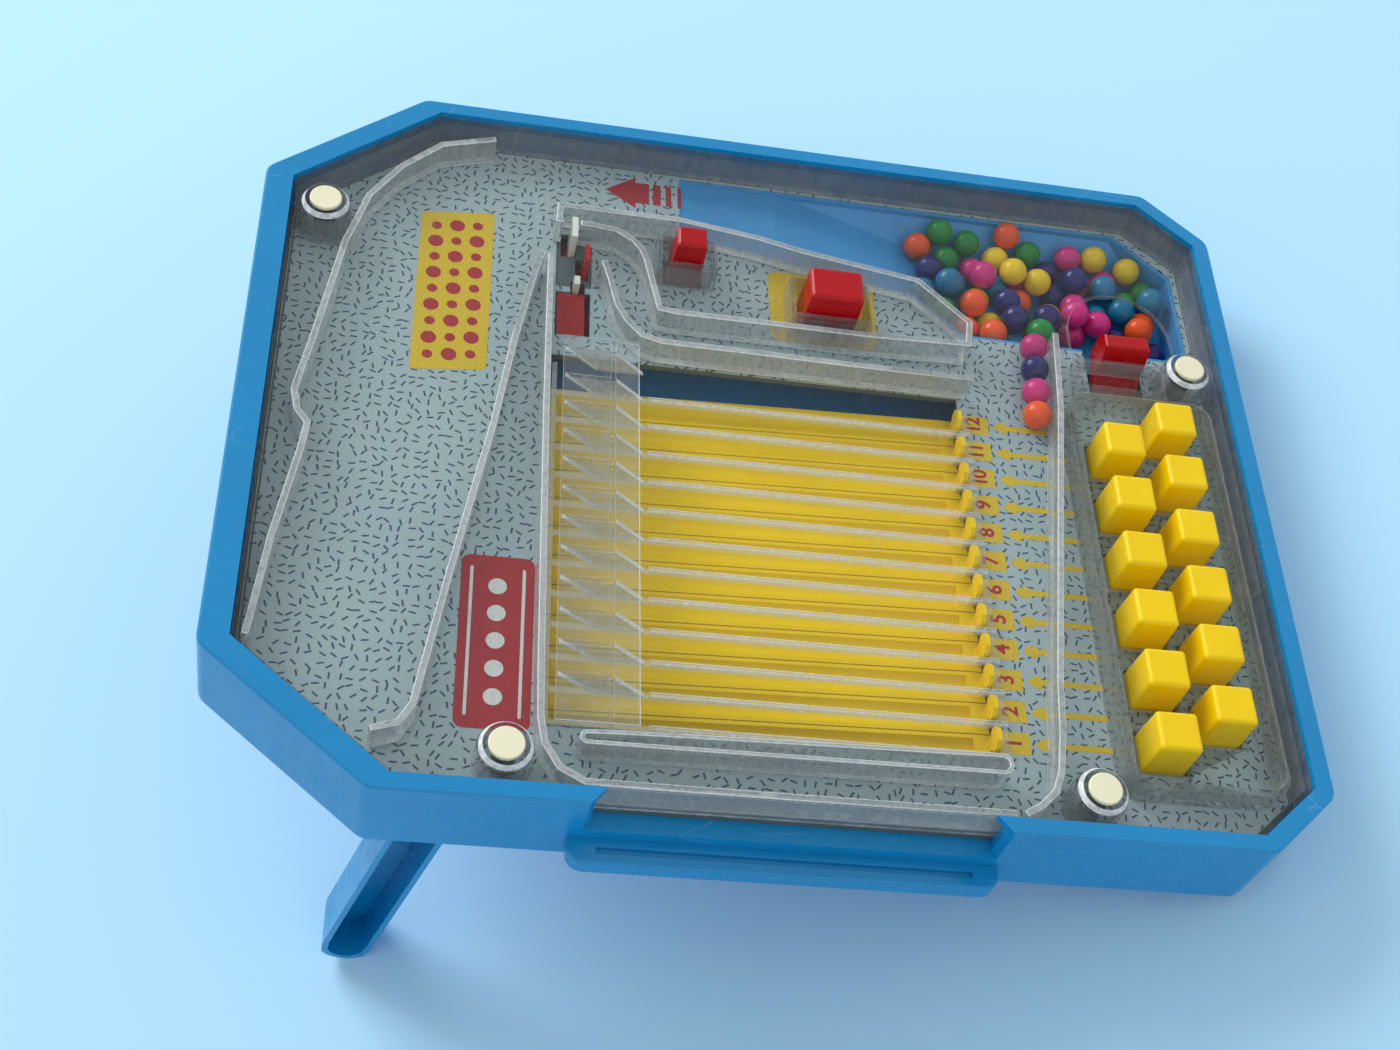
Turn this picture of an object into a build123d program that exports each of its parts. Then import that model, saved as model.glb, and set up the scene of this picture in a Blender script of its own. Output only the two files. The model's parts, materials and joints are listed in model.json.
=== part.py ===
from build123d import *
import math
import os
import random

# Hand-held ball-mosaic game: a shallow blue tray with a clear cover, a ball reservoir,
# twelve lanes fed through a comb, and twelve sprung keys that let the balls go again.
# X is the player's right, +Y points away from the player, Z is up; millimetres.
# Everything is laid out with the tray flat and its rim at z = 0, then tipped onto its legs.

# ---- driving dimensions -------------------------------------------------------------------
CASE_X = 322.0            # outside width of the tray
CASE_Y = 408.5            # outside length of the tray
BACK = 206.0              # far end of the tray, from the middle of the lanes
CASE_H = 41.0             # outside height of the tray
RIM_SIDE = 6.6            # rim width at the sides
RIM_FRONT = 7.3           # rim width at the player's end
RIM_BACK = 10.8           # rim width at the far end
CUT_BACK = (46.8, 56.5)   # corner cuts of the window, far end
CUT_FRONT = (20.8, 23.7)  # corner cuts of the window, player's end
WALL = 2.6                # tray wall
SHELF = 3.0               # ledge that carries the deck

COVER_TOP = -2.0          # upper face of the clear cover
COVER_T = 2.0
CARD_TOP = -17.0          # face of the printed card
CARD_T = 0.6
DECK_T = 2.5
WALL_T = 2.6              # moulded guide walls

BALL_D = 12.0
LANES = 12
LANE_PITCH = 13.4
LANE_1_X = -115.8         # centre of lane 1
LANE_FAR = 88.0           # far end of the lanes
LANE_NEAR = -79.0         # gate end of the lanes

KEY_W = 12.9              # key under one lane
KEY_PIVOT = (97.0, -33.5)
KEY_ROD_D = 3.0           # the keys swing 1.9 degrees, about 8 mm at the button
TROUGH_FAR = -31.6        # top of a key's trough at the far end and at the gate
TROUGH_NEAR = -24.2
GROOVE_R = 5.6
GROOVE_DEEP = 3.0
BUTTON = (17.0, 17.4)     # base of a button
BUTTON_TOP = 2.4
ROW_A_Y = -144.4
ROW_B_Y = -168.7

LEG_W = 19.0              # leg seen from the side
LEG_DEPTH = 18.0
LEG_LEN = 125.0
LEG_LEAN = 10.7           # degrees the open leg leans outward from the tray's normal
LEG_PIVOT = (124.0, -31.5)
LEG_PIN_D = 4.0

SCREWS = [(97.0, 181.5), (-141.0, 100.5), (-141.0, -112.5), (61.0, -180.5)]
CAP_D = 12.6

# ---- derived levels -----------------------------------------------------------------------
HX = CASE_X / 2
FRONT = BACK - CASE_Y      # outside of the player's end
IN_X = HX - RIM_SIDE
IN_FRONT = FRONT + RIM_FRONT
IN_BACK = BACK - RIM_BACK
COVER_UNDER = COVER_TOP - COVER_T
CARD_UNDER = CARD_TOP - CARD_T
DECK_UNDER = CARD_UNDER - DECK_T
FLOOR_TOP = -CASE_H + WALL
RIB_FOOT = CARD_TOP + 0.3
SKIRT_IN = 2.0            # inner face of the cover's skirt, from the tray's rim
SIDE_RUN = IN_X - SKIRT_IN - 0.1 - WALL_T / 2    # guide walls that follow the skirt


def lane_x(n):
    """Centre of lane n, 1 to 12, counted from the player's left."""
    return LANE_1_X + LANE_PITCH * (n - 1)


def button_y(n):
    """Odd lanes have their button in the nearer row, even lanes in the row behind it."""
    return ROW_A_Y if n % 2 else ROW_B_Y


# ---- small builders -----------------------------------------------------------------------
def block(x0, x1, y0, y1, z0, z1):
    return Pos((x0 + x1) / 2, (y0 + y1) / 2, (z0 + z1) / 2) * Box(
        abs(x1 - x0), abs(y1 - y0), abs(z1 - z0))


def prism(points, z0, z1):
    """Closed outline in plan, between two heights."""
    face = make_face(Polyline(*points, close=True))
    return extrude(Plane.XY.offset(z0) * face, z1 - z0)


def side_prism(points, x0, x1):
    """Closed outline given as (y, z), between two x positions."""
    face = make_face(Polyline(*[(0, y, z) for y, z in points], close=True))
    return Pos(x0, 0, 0) * extrude(face, x1 - x0, dir=(1, 0, 0))


def end_prism(points, y0, y1):
    """Closed outline given as (x, z), between two y positions."""
    face = make_face(Polyline(*[(x, y0, z) for x, z in points], close=True))
    return extrude(face, y1 - y0, dir=(0, 1, 0))


def rod_x(r, x0, x1, y, z):
    return Pos((x0 + x1) / 2, y, z) * Rot(0, 90, 0) * Cylinder(r, x1 - x0)


def rod_y(r, y0, y1, x, z):
    return Pos(x, (y0 + y1) / 2, z) * Rot(90, 0, 0) * Cylinder(r, y1 - y0)


def post(r, x, y, z0, z1):
    return Pos(x, y, (z0 + z1) / 2) * Cylinder(r, z1 - z0)


def octagon(hx, y0, y1, back, front, grow=0.0):
    """Tray outline: long rectangle with a large cut at the far corners, a small one near."""
    bx, by = back
    fx, fy = front
    s = grow * 0.42
    hx, y0, y1 = hx + grow, y0 - grow, y1 + grow
    bx, by, fx, fy = bx + s, by + s, fx + s, fy + s
    return [(hx, y0 + fy), (hx, y1 - by), (hx - bx, y1), (-hx + bx, y1), (-hx, y1 - by),
            (-hx, y0 + fy), (-hx + fx, y0), (hx - fx, y0)]


def inner(grow=0.0):
    return octagon(IN_X, IN_FRONT, IN_BACK, CUT_BACK, CUT_FRONT, grow)


def outer(grow=0.0):
    back = (CUT_BACK[0] + 3.0, CUT_BACK[1] + 4.0)
    front = (CUT_FRONT[0] + 3.5, CUT_FRONT[1] + 3.5)
    return octagon(HX, FRONT, BACK, back, front, grow)


def rounded_prism(points, z0, z1, r):
    solid = prism(points, z0, z1)
    return fillet(solid.edges().filter_by(Axis.Z), r)


def side_points(path, offset, closed=False):
    """Points of a path moved sideways by offset, with mitred corners."""
    out = []
    n = len(path)
    for i, (x, y) in enumerate(path):
        before = path[(i - 1) % n] if closed or i > 0 else None
        after = path[(i + 1) % n] if closed or i < n - 1 else None
        normals = []
        for a, b in ((before, (x, y)), ((x, y), after)):
            if a is not None and b is not None:
                dx, dy = b[0] - a[0], b[1] - a[1]
                length = math.hypot(dx, dy)
                normals.append((-dy / length, dx / length))
        nx = sum(v[0] for v in normals) / len(normals)
        ny = sum(v[1] for v in normals) / len(normals)
        scale = offset / (nx * nx + ny * ny)
        out.append((x + nx * scale, y + ny * scale))
    return out


def wall(path, thick=WALL_T, z0=None, z1=None):
    """Open guide wall of even thickness along a path."""
    left = side_points(path, thick / 2)
    right = side_points(path, -thick / 2)
    return prism(left + right[::-1], RIB_FOOT if z0 is None else z0,
                 COVER_UNDER if z1 is None else z1)


def loop_wall(path, thick=WALL_T):
    """Closed guide wall; the path is its outside, listed counter-clockwise."""
    return prism(path, RIB_FOOT, COVER_UNDER) - prism(
        side_points(path, thick, True), RIB_FOOT - 1, COVER_UNDER + 1)


def arc_points(cx, cy, r, a0, a1, n):
    return [(cx + r * math.cos(math.radians(a0 + (a1 - a0) * i / n)),
             cy + r * math.sin(math.radians(a0 + (a1 - a0) * i / n))) for i in range(n + 1)]


def drafted_button(x, y, z0, z1, base, draft, r):
    """Push-button cap: slightly tapered block with rounded upright and top edges."""
    foot = Pos(x, y, z0) * RectangleRounded(base[0], base[1], r)
    cap = extrude(foot, z1 - z0, taper=draft)
    return fillet(cap.edges().group_by(Axis.Z)[-1], 1.8)


# ---- outlines shared by several pieces ----------------------------------------------------
WELL = (-136.5, 45.0, -188.0, -125.0)           # recess in the cover round the buttons
RED_SMALL = (95.0, 33.5)                        # centre of the small red button
RED_LARGE = (78.0, -26.5)                       # centre of the large red button
SMALL_CAP = (12.0, 13.4)
LARGE_CAP = (17.4, 23.0)
FEEDER = (71.0, -154.0)                         # centre of the feeder lever
PADDLE = (55.4, 77.4, 74.4, 85.8)               # red paddle beside lane 12
GATE_SLOT = (54.8, 78.0, 72.2, 86.4)            # opening for the paddle
BLADES = [(77.9, 84.2, 74.4, 80.4), (85.4, 96.4, 73.2, 78.6), (97.6, 109.6, 78.6, 84.8)]
CHUTE = (80.8, 109.8, 71.8, 86.6)               # the card is cut away round the blades
WINDOW = (-122.8, 44.4, LANE_NEAR - 2.5, LANE_FAR)
POND = [(150.8, 34.0), (117.0, 34.0), (112.5, 2.0), (108.0, -17.0), (99.5, -66.0),
        (79.0, -88.5), (78.0, -190.5), (128.5, -190.5), (150.8, -166.0)]
POND_DEEP = -34.0
BANK_Y = -8.0                                   # the pan's outer side leans in from here on
BANK_FOOT = 132.0

PLAY_ISLAND = [(115.4, 88.0), (104.6, 88.6), (103.5, 71.6), (102.5, 63.5), (98.4, 57.0),
               (94.1, 53.8), (89.0, 52.0), (62.5, 46.6), (61.4, 38.0), (61.4, -42.6),
               (63.0, -86.0), (76.4, -88.0), (97.5, -66.5), (105.9, -16.4),
               (110.5, 2.8), (115.2, 36.1)]
LOW_ISLAND = ([(-127.4, -77.0), (-130.2, 58.0)] + arc_points(-133.6, 72.4, 2.8, 0, 180, 8)
              + arc_points(-131.6, -77.0, 4.2, 180, 350, 9))
MID_WALL = [(86.0, 68.3), (76.4, 65.6), (63.1, 62.7), (55.1, 58.5), (48.6, 52.6), (46.4, 44.9),
            (46.2, 5.3), (45.8, -30.0), (45.6, -85.0)]

FUNNEL_LEFT = [(147.0, 115.0), (139.8, 137.2), (124.7, 152.7), (105.8, 164.9), (91.1, 168.8),
               (80.5, 172.0), (31.1, 179.7), (3.0, 184.6), (-6.2, 182.6), (-12.0, 178.3),
               (-23.7, 179.6), (-62.9, 186.0), (-96.6, 189.6), (-104.4, 190.6)]
FUNNEL_RIGHT = [(87.3, 93.5), (77.2, 96.2), (39.9, 103.4), (-4.9, 110.3), (-68.1, 122.2),
                (-104.6, 128.6), (-126.0, 132.4), (-133.6, 136.6), (-136.8, 146.0)]
LANE_HEAD = [(86.4, 90.2), (8.7, 90.2), (-106.2, 89.2), (-127.2, 88.8), (-137.1, 87.1),
             (-146.0, 81.8), (-150.8, 72.9), (-SIDE_RUN, 13.3), (-SIDE_RUN, -80.0)]
RETURN = [(76.0, -124.5), (35.2, -121.4), (-9.4, -115.3), (-96.1, -103.4), (-117.1, -101.4),
          (-133.1, -98.8), (-141.1, -95.7), (-147.0, -89.8), (-150.8, -83.5)]

parts = {}

# ---- tray ---------------------------------------------------------------------------------
tray = rounded_prism(outer(), -CASE_H, 0, 7.0)
tray = fillet(tray.faces().sort_by(Axis.Z)[0].edges(), 3.0)
tray = chamfer(tray.faces().sort_by(Axis.Z)[-1].outer_wire().edges(), 0.8)
tray -= prism(inner(), -3.0, 1)
tray -= prism(outer(-WALL), DECK_UNDER, -3.0)
tray -= prism(inner(-SHELF), DECK_UNDER - 3.0, DECK_UNDER)
tray -= prism(outer(-WALL), FLOOR_TOP, DECK_UNDER - 3.0)

# leg pockets in the underside, one each side
POCKET_Y = (LEG_PIVOT[0] - LEG_LEN - 3.0, LEG_PIVOT[0] + 13.0)
LEG_X0 = HX - WALL - 0.5 - LEG_DEPTH
LEG_X1 = HX - WALL - 0.5
for s in (-1, 1):
    x_in, x_out = s * (LEG_X0 - 0.5), s * (LEG_X1 + 0.5)
    tray += block(x_in - s * 1.8, x_out, POCKET_Y[0] - 1.8, POCKET_Y[1] + 1.8,
                  -CASE_H, DECK_UNDER)
    tray -= block(x_in, x_out, POCKET_Y[0], POCKET_Y[1], -CASE_H - 1, -21.6)
    tray -= rod_x(LEG_PIN_D / 2, *sorted((x_in - s * 1.4, x_out + s * 1.2)), *LEG_PIVOT)

# brackets for the key rod and the rocker rod
BRACKETS = [lane_x(1) - KEY_W / 2 - 2.6, lane_x(LANES) + KEY_W / 2 + 2.6]
for x in BRACKETS:
    tray += block(x - 1.8, x + 1.8, KEY_PIVOT[0] - 5, KEY_PIVOT[0] + 5, FLOOR_TOP,
                  KEY_PIVOT[1] + 5)
    tray -= rod_x(KEY_ROD_D / 2, x - 3, x + 3, *KEY_PIVOT)
ROCKER_ROD = (5.0, -30.0)
ROCKER_ROD_X = (64.0, 108.5)
for x in (ROCKER_ROD_X[0] + 1.6, ROCKER_ROD_X[1] - 1.6):
    tray += block(x - 1.6, x + 1.6, ROCKER_ROD[0] - 4, ROCKER_ROD[0] + 4, FLOOR_TOP,
                  ROCKER_ROD[1] + 4)
    tray -= rod_x(1.5, x - 3, x + 3, *ROCKER_ROD)
FEEDER_ROD = (58.5, -27.5)                       # x, z of the feeder's pin, which runs along Y
for y in (FEEDER[1] - 15.0, FEEDER[1] + 15.0):
    tray += block(FEEDER_ROD[0] - 4, FEEDER_ROD[0] + 4, y - 1.6, y + 1.6, FLOOR_TOP,
                  FEEDER_ROD[1] + 4)
    tray -= rod_y(1.5, y - 3, y + 3, *FEEDER_ROD)

# hand grip on the left side: the rim is cut away and a lip stands out below it
GRIP = (-77.0, 72.0)
cut = [(-IN_X, GRIP[0] + 6), (-HX - 5, GRIP[0] - 4), (-HX - 5, GRIP[1] + 4),
       (-IN_X, GRIP[1] - 6)]
tray -= prism(cut, DECK_UNDER, 5)
tray += block(-HX + WALL, -IN_X, GRIP[0] - 3, GRIP[0] + 2, DECK_UNDER, -3.0) - prism(
    cut, -30, 5)
tray += block(-HX + WALL, -IN_X, GRIP[1] - 2, GRIP[1] + 3, DECK_UNDER, -3.0) - prism(
    cut, -30, 5)
lip = block(-HX - 9.5, -HX + 1.0, GRIP[0] - 2, GRIP[1] + 4, -33.0, -26.0)
lip = fillet(lip.edges().filter_by(Axis.Z).group_by(Axis.X)[0], 6.0)
lip = fillet(lip.faces().sort_by(Axis.Z)[-1].edges(), 1.2)
lip -= block(-HX - 5.6, -HX - 3.2, GRIP[0] + 8, GRIP[1] - 6, -27.4, -25.0)
tray += lip
parts["case_tray"] = tray

# ---- deck, card and reservoir -------------------------------------------------------------
slots = [block(*WINDOW, -30, 0), block(*GATE_SLOT, -30, 0), prism(POND, -40, 0)]
slots += [block(*blade, -30, 0) for blade in BLADES]
for n in range(1, LANES + 1):
    w, d = BUTTON[0] + 0.9, BUTTON[1] + 2.2
    slots.append(block(lane_x(n) - w / 2, lane_x(n) + w / 2, button_y(n) - d / 2,
                       button_y(n) + d / 2, -30, 0))
for (x, y), (w, d) in ((RED_SMALL, SMALL_CAP), (RED_LARGE, LARGE_CAP)):
    slots.append(block(x - w / 2 - 1.0, x + w / 2 + 1.0, y - d / 2 - 1.6, y + d / 2 + 1.6,
                       -30, 0))
FEEDER_HOLE = (55.5, 90.0, FEEDER[1] - 12.0, FEEDER[1] + 12.0)
slots.append(block(*FEEDER_HOLE, -30, 0))

deck = prism(inner(-0.4), DECK_UNDER, CARD_UNDER)
card = prism(inner(-2.4), CARD_UNDER, CARD_TOP)
for tool in slots:
    deck -= tool
    card -= tool
for x, y in SCREWS:
    deck += post(4.2, x, y, CARD_UNDER, COVER_UNDER)
    deck -= post(1.3, x, y, DECK_UNDER, 0)
    card -= post(4.4, x, y, -30, 0)
card -= block(*CHUTE, -30, 0)
parts["deck_panel"] = deck
parts["printed_card"] = card

# the reservoir pan: level at first, then deepening towards the player
pond_floor = [(POND[0][1], CARD_UNDER - 0.2), (BANK_Y, -18.2), (-104.0, POND_DEEP),
              (-190.5, POND_DEEP)]
pan_side = pond_floor + [(y, z - 1.8) for y, z in pond_floor[::-1]]
pan_plan = side_points(POND, 0.15, True)
pan = side_prism(pan_side, 70, 160) & prism(pan_plan, -40, -10)
walls = (prism(pan_plan, -35.8, CARD_UNDER)
         - prism(side_points(POND, 1.75, True), -50, 0))
above = side_prism([(40, CARD_UNDER)] + pond_floor + [(-200, POND_DEEP), (-200, CARD_UNDER)],
                   60, 170)
pan += walls & above
# its outer side is a bank that leans in towards the deep end
bank_x = POND[0][0] + 0.15
bank_rise = (pond_floor[1][1] - POND_DEEP) / (bank_x - BANK_FOOT)
bank = [(BANK_FOOT, POND_DEEP), (bank_x, pond_floor[1][1]), (bank_x, pond_floor[1][1] - 2.4),
        (BANK_FOOT, POND_DEEP - 2.4)]
pan += end_prism(bank, -200, BANK_Y) & prism(pan_plan, POND_DEEP - 1.8, -10)
under_bank = [(BANK_FOOT - 2.0, POND_DEEP - 2.4 - 2.0 * bank_rise),
              (bank_x + 2.0, pond_floor[1][1] - 2.4 + 2.0 * bank_rise), (bank_x + 2.0, -45.0),
              (BANK_FOOT - 2.0, -45.0)]
pan -= end_prism(under_bank, -200, BANK_Y)
pan -= block(FEEDER_HOLE[0], FEEDER_HOLE[1] - 4, FEEDER_HOLE[2], FEEDER_HOLE[3], -30.5, 0)
parts["reservoir_pan"] = pan

# ---- clear cover --------------------------------------------------------------------------
cover = prism(inner(-0.4), COVER_UNDER, COVER_TOP)
cover += prism(inner(-0.4), CARD_TOP, COVER_UNDER) - prism(inner(-SKIRT_IN), -30, 0)
wx0, wx1, wy0, wy1 = WELL
well_plan = Pos((wx0 + wx1) / 2, (wy0 + wy1) / 2, 0) * RectangleRounded(
    wx1 - wx0, wy1 - wy0, 9.0)
well_in = Pos((wx0 + wx1) / 2, (wy0 + wy1) / 2, 0) * RectangleRounded(
    wx1 - wx0 - 3.6, wy1 - wy0 - 3.6, 7.2)
cover += extrude(Plane.XY.offset(CARD_TOP) * well_plan, COVER_TOP - CARD_TOP)
cover -= extrude(Plane.XY.offset(CARD_TOP + 1.6) * well_in, 30)
for n in range(1, LANES + 1):
    x, y = lane_x(n), button_y(n)
    w, d = BUTTON[0] + 0.9, BUTTON[1] + 2.2
    cover += block(x - w / 2 - 1.2, x + w / 2 + 1.2, y - d / 2 - 1.2, y + d / 2 + 1.2,
                   CARD_TOP, CARD_TOP + 2.4)
for n in range(1, LANES + 1):
    x, y = lane_x(n), button_y(n)
    w, d = BUTTON[0] + 0.9, BUTTON[1] + 2.2
    cover -= block(x - w / 2, x + w / 2, y - d / 2, y + d / 2, -30, 5)
# square tubes round the two red buttons
for (x, y), (w, d), gap in ((RED_SMALL, SMALL_CAP, 4.4), (RED_LARGE, LARGE_CAP, 4.0)):
    cover += block(x - w / 2 - 2.6, x + w / 2 + 2.6, y - d / 2 - gap - 1.6,
                   y + d / 2 + gap + 1.6, RIB_FOOT, COVER_TOP)
    cover -= block(x - w / 2 - 1.0, x + w / 2 + 1.0, y - d / 2 - gap, y + d / 2 + gap, -30, 5)
# thumb opening for the feeder lever: a half round with a straight side
thumb = [(62.2, -174.0)] + [(62.2, -131.0)] + arc_points(76.0, -152.5, 21.5, 90, -90, 14)
cover += prism(thumb, -11.0, COVER_TOP)
cover -= prism(side_points(thumb, 1.4, True), -30, 5)
# clear finger pocket in front of the feeder lever
cover += block(46.4, 62.0, -170.0, -131.0, -11.4, COVER_TOP)
cover -= fillet(block(47.8, 60.6, -168.6, -132.4, -10.0, 5).edges().filter_by(Axis.Z), 4.0)
# raised seats for the four screw caps, each standing over a round sleeve
for x, y in SCREWS:
    cover += post(10.4, x, y, RIB_FOOT, COVER_UNDER) - post(9.0, x, y, -30, 0)
    cover += Pos(x, y, COVER_TOP + 1.0) * Cone(9.4, 8.2, 2.0)
    cover -= post(CAP_D / 2 + 0.1, x, y, -0.6, 5)
    cover -= post(3.1, x, y, -2.6, 0)
    cover -= post(1.6, x, y, -5, 0)
parts["clear_cover"] = cover

# ---- clear guide walls under the cover ----------------------------------------------------
# the island's end wall is notched for the feed blade
play_loop = loop_wall(PLAY_ISLAND) - block(95.0, 109.9, 78.2, 85.2, -20.0, 0.0)
guides = [wall(FUNNEL_LEFT), wall(FUNNEL_RIGHT), wall(LANE_HEAD), wall(RETURN),
          wall(MID_WALL), play_loop, loop_wall(LOW_ISLAND, 1.6)]
parts["guide_walls"] = Compound(children=guides)

# comb of clear fins at the head of the lanes: each fin hangs on a lane boundary and leans
comb = block(-128.0, lane_x(LANES) + 12.4, 54.0, 84.0, COVER_UNDER - 1.4, COVER_UNDER)
for n in range(1, LANES + 1):
    x = lane_x(n) + LANE_PITCH / 2
    fin = [(83.0, COVER_UNDER - 1.4), (69.5, RIB_FOOT + 0.7), (50.5, RIB_FOOT + 0.7),
           (63.0, COVER_UNDER - 1.4)]
    comb += side_prism(fin, x - 0.9, x + 0.9)
comb += block(-128.0, lane_x(LANES) + 12.4, 63.2, 64.8, -8.0, COVER_UNDER - 1.4)
parts["lane_comb"] = comb

# clear rails that carry the balls along the open lanes, joined by a strip at each end
rail_end = lane_x(LANES) + LANE_PITCH / 2 + 1.3
rails = block(WINDOW[0] - 3, rail_end, LANE_FAR - 3.0, LANE_FAR - 1.0, CARD_TOP,
              CARD_TOP + 0.8)
for n in range(LANES):
    x = lane_x(n) + LANE_PITCH / 2
    bar = block(x - 1.3, x + 1.3, LANE_NEAR - 6.0, 49.0, CARD_TOP, CARD_TOP + 2.6)
    bar = fillet(bar.edges().filter_by(Axis.Y).group_by(Axis.Z)[-1], 1.2)
    rails += bar
    rails += block(x - 1.3, x + 1.3, 48.0, LANE_FAR - 1.5, CARD_TOP, CARD_TOP + 0.8)
rails += block(WINDOW[0] - 3, rail_end, LANE_NEAR - 6.0, LANE_NEAR - 3.2, CARD_TOP,
               CARD_TOP + 0.8)
parts["lane_rails"] = rails

# ---- twelve keys, hinged together on one rod beyond the lanes -----------------------------
def key(n):
    """Button, arm, gate tab and the long sloping trough under the lane, in one piece."""
    x, yb = lane_x(n), button_y(n)
    hub_y, hub_z = KEY_PIVOT
    far, near = 84.0, LANE_NEAR + 3.0
    trough = [(hub_y - 1.5, hub_z + 3.2), (far, TROUGH_FAR), (near, TROUGH_NEAR),
              (LANE_NEAR - 2.2, TROUGH_NEAR), (LANE_NEAR - 2.2, TROUGH_NEAR - 3.8),
              (far, TROUGH_FAR - 4.8), (hub_y - 1.5, hub_z - 3.2)]
    body = side_prism(trough, x - KEY_W / 2, x + KEY_W / 2)
    # a round groove along the trough, which falls away from the gate
    slope = math.degrees(math.atan2(TROUGH_FAR - TROUGH_NEAR, far - near))
    groove = Cylinder(GROOVE_R, math.hypot(far - near, TROUGH_FAR - TROUGH_NEAR) - 3.0)
    body -= Pos(x, (far + near) / 2, (TROUGH_FAR + TROUGH_NEAR) / 2 + GROOVE_R - GROOVE_DEEP) * Rot(
        slope, 0, 0) * Rot(90, 0, 0) * groove
    body += rod_x(3.6, x - KEY_W / 2, x + KEY_W / 2, hub_y, hub_z)
    body += block(x - 3.4, x + 3.4, yb - BUTTON[1] / 2, LANE_NEAR + 1.0, -28.0, -24.6)
    tab = [(x - 2.6, -26.0), (x - 2.6, -19.0), (x - 4.4, -16.8), (x - 4.4, -13.6),
           (x - 2.2, -11.2), (x + 2.2, -11.2), (x + 4.4, -13.6), (x + 4.4, -16.8),
           (x + 2.6, -19.0), (x + 2.6, -26.0)]
    body += end_prism(tab, LANE_NEAR - 1.8, LANE_NEAR)
    body += drafted_button(x, yb, CARD_TOP, BUTTON_TOP, BUTTON, 1.6, 2.0)
    skirt = Pos(x, yb, -26.0) * RectangleRounded(BUTTON[0], BUTTON[1], 2.0)
    body += extrude(skirt, CARD_TOP + 26.0)
    body -= block(x - BUTTON[0] / 2 + 2.0, x + BUTTON[0] / 2 - 2.0, yb - BUTTON[1] / 2 + 2.0,
                  yb + BUTTON[1] / 2 - 2.0, -24.6, BUTTON_TOP - 2.0)
    for s in (-1, 1):
        body -= block(x + s * 3.4, x + s * (BUTTON[0] / 2 - 2.0), yb - BUTTON[1] / 2 + 2.0,
                      yb + BUTTON[1] / 2 - 2.0, -30, -24.0)
    body -= rod_x(KEY_ROD_D / 2 + 0.06, x - 8, x + 8, hub_y, hub_z)
    return body


for n in range(1, LANES + 1):
    parts[f"key_{n:02d}"] = key(n)
parts["key_rod"] = rod_x(KEY_ROD_D / 2, BRACKETS[0] - 1.8, BRACKETS[1] + 1.8, *KEY_PIVOT)

# ---- red rockers of the ball gate ---------------------------------------------------------
def red_button(centre, cap, top):
    x, y = centre
    body = drafted_button(x, y, -16.0, top, cap, 1.2, 1.6)
    foot = Pos(x, y, -26.0) * RectangleRounded(cap[0], cap[1], 1.6)
    return body + extrude(foot, 10.0)


def hub(x0, x1):
    return rod_x(4.0, x0, x1, *ROCKER_ROD)


bore = rod_x(1.5 + 0.06, 40, 120, *ROCKER_ROD)
small = red_button(RED_SMALL, SMALL_CAP, 6.8)
small += block(90.0, 99.0, 3.0, 84.0, -27.0, -23.6) + hub(87.6, 103.0)
small += block(91.0, 98.0, 1.6, 8.4, -30.0, -24.0)
small += block(84.6, 109.4, 72.8, 84.0, -27.0, -23.6)
small += block(86.0, 95.0, 74.0, 75.8, -25.0, -5.6)
small -= bore
parts["feed_rocker"] = small
parts["feed_blade"] = block(98.2, 109.0, 79.2, 81.6, -23.6, -5.2)

large = red_button(RED_LARGE, LARGE_CAP, 7.4)
large += block(69.9, 86.1, -36.0, 8.0, -30.0, -25.0) + hub(67.6, 87.0)
large += block(69.9, 79.4, 1.0, 84.0, -31.5, -28.2)
large += block(PADDLE[0], 83.6, PADDLE[2], PADDLE[3], -31.5, -28.2)
large += block(*PADDLE, -29.0, -17.4)
large -= bore
parts["release_rocker"] = large
parts["release_blade"] = block(78.8, 83.2, 77.0, 79.4, -28.2, -12.4)
parts["rocker_rod"] = rod_x(1.5, *ROCKER_ROD_X, *ROCKER_ROD)

# ---- feeder lever at the reservoir --------------------------------------------------------
fx, fz = FEEDER_ROD
profile = [(fx - 3.0, fz - 2.5), (fx + 2.5, fz - 3.6), (fx + 7.5, -20.0), (77.0, -15.0),
           (77.0, -2.4), (73.6, 1.2), (67.6, 1.2), (64.8, -8.0), (64.4, -12.2), (61.5, -15.5),
           (fx - 3.4, fz + 2.5)]
feeder = end_prism(profile, FEEDER[1] - 9.8, FEEDER[1] + 9.8)
feeder = fillet(feeder.faces().sort_by(Axis.Z)[-1].edges(), 1.2)
feeder += rod_y(4.0, FEEDER[1] - 12.0, FEEDER[1] + 12.0, fx, fz)
feeder -= rod_y(1.56, FEEDER[1] - 16.0, FEEDER[1] + 16.0, fx, fz)
parts["feeder_lever"] = feeder
parts["feeder_pin"] = rod_y(1.5, FEEDER[1] - 16.6, FEEDER[1] + 16.6, fx, fz)

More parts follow.
